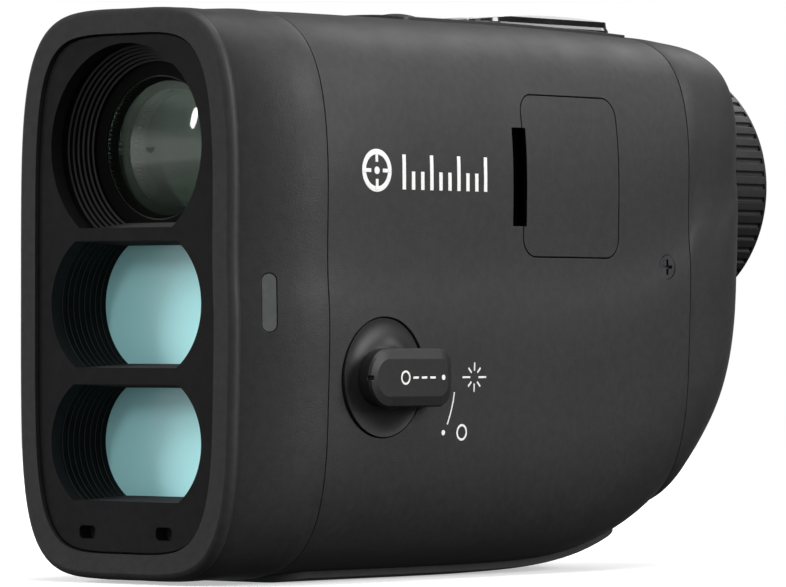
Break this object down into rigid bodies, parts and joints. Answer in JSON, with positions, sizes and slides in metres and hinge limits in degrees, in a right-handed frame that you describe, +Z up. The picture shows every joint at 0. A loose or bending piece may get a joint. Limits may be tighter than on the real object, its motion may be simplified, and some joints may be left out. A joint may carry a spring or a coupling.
{
  "type": "laser rangefinder",
  "caption": "Hand-held camera-type rangefinder: an objective over two laser windows in front, side laser switch and door, top keys, and a knurled dioptre dial round the eyepiece.",
  "frame": {"origin": "centre of the tripod socket's mouth, on the foot's flat underside", "axes": "+Z up, -Y along the lines of sight towards the target, +Y towards the eye, +X the side with the laser switch and the terminal door"},
  "size_m": [0.0533, 0.1154, 0.0767],
  "materials": {
    "shell_plastic": "fine-textured matte charcoal moulding",
    "lever_plastic": "smooth matte charcoal moulding",
    "door_plastic": "fine-textured matte charcoal moulding",
    "dial_plastic": "satin charcoal, knurled",
    "panel_plastic": "smooth matte black",
    "top_plastic": "smooth satin black",
    "baffle_black": "dead-flat black, stepped against glare",
    "barrel_plastic": "matte black moulding",
    "objective_glass": "green-coated lens glass",
    "inner_glass": "coated lens glass",
    "eye_glass": "coated eye lens",
    "laser_glass": "pale cyan coated window",
    "lamp_lens": "smoked translucent light guide",
    "gloss_black": "polished black",
    "button_black": "polished black",
    "trim_silver": "satin bright ring",
    "rubber": "soft matte black",
    "steel": "plated steel",
    "brass": "turned brass",
    "circuit_board": "solder-masked laminate",
    "component_black": "moulded package",
    "diode_can": "gold-plated metal can",
    "battery_wrap": "shrink-wrapped cell",
    "flex_film": "amber polyimide film"
  },
  "bodies": {
    "camera_body": {"front_shell": "shell_plastic", "right_shell": "shell_plastic", "left_shell": "shell_plastic", "rear_cover": "shell_plastic", "front_panel": "panel_plastic", "top_plate": "top_plastic", "objective_hood": "baffle_black", "receiver_hood": "baffle_black", "emitter_hood": "baffle_black", "objective_barrel": "barrel_plastic", "receiver_barrel": "barrel_plastic", "emitter_barrel": "barrel_plastic", "display_shroud": "barrel_plastic", "terminal_bay": "barrel_plastic", "lever_bearing": "barrel_plastic", "chassis": "barrel_plastic", "eyepiece_tube": "barrel_plastic", "objective_lens": "objective_glass", "objective_rear_lens": "inner_glass", "receiver_lens": "inner_glass", "emitter_lens": "inner_glass", "receiver_window": "laser_glass", "emitter_window": "laser_glass", "status_lamp": "lamp_lens", "button_island": "gloss_black", "button_trim": "trim_silver", "foot": "rubber", "eyecup": "rubber", "seam_seals": "rubber", "door_hinge_strip": "rubber", "case_screws": "steel", "detent_spring": "steel", "strap_eyelet": "steel", "usb_socket": "steel", "card_socket": "steel", "tripod_bush": "brass", "sensor_board": "circuit_board", "ranging_board": "circuit_board", "main_board": "circuit_board", "button_board": "circuit_board", "image_sensor": "component_black", "display_module": "component_black", "lever_switch": "component_black", "microphones": "component_black", "receiver_diode": "diode_can", "laser_diode": "diode_can", "battery": "battery_wrap", "flex_cable": "flex_film"},
    "laser_switch": {"laser_lever": "lever_plastic", "lever_clip": "steel"},
    "door": {"terminal_door": "door_plastic"},
    "dial": {"dioptre_dial": "dial_plastic"},
    "eye_carrier": {"lens_carrier": "barrel_plastic", "field_lens": "inner_glass", "eye_lens": "eye_glass"},
    "measure_key": {"measure_button": "button_black"},
    "photo_key": {"photo_button": "button_black"},
    "power_key": {"power_button": "button_black"},
    "menu_key": {"menu_button": "button_black"}
  },
  "joints": [
    {"name": "lever_turn", "type": "hinge", "parent": "camera_body", "child": "laser_switch", "pos_m": [0.025, -0.01685, 0.02684], "axis": [-1, 0, 0], "range_deg": [0, 31]},
    {"name": "door_swing", "type": "hinge", "parent": "camera_body", "child": "door", "pos_m": [0.025, 0.0324, 0.0538], "axis": [0, 0, 1], "range_deg": [0, 110]},
    {"name": "dial_turn", "type": "hinge", "parent": "camera_body", "child": "dial", "pos_m": [0, 0.07, 0.0536], "axis": [0, 1, 0], "range_deg": [-60, 60]},
    {"name": "carrier_slide", "type": "slide", "parent": "camera_body", "child": "eye_carrier", "axis": [0, 1, 0], "range_m": [-0.0013, 0.0013]},
    {"name": "measure_press", "type": "slide", "parent": "camera_body", "child": "measure_key", "axis": [0, 0, -1], "range_m": [0, 0.0004], "stiffness_N_per_m": 500, "springref_m": -0.0004},
    {"name": "photo_press", "type": "slide", "parent": "camera_body", "child": "photo_key", "axis": [0, 0, -1], "range_m": [0, 0.0004], "stiffness_N_per_m": 500, "springref_m": -0.0004},
    {"name": "power_press", "type": "slide", "parent": "camera_body", "child": "power_key", "axis": [0, 0, -1], "range_m": [0, 0.0004], "stiffness_N_per_m": 500, "springref_m": -0.0004},
    {"name": "menu_press", "type": "slide", "parent": "camera_body", "child": "menu_key", "axis": [0, 0, -1], "range_m": [0, 0.0004], "stiffness_N_per_m": 500, "springref_m": -0.0004}
  ],
  "couplings": [
    {"joint": "carrier_slide", "follows": "dial_turn", "m_per_rad": 0.001146}
  ]
}
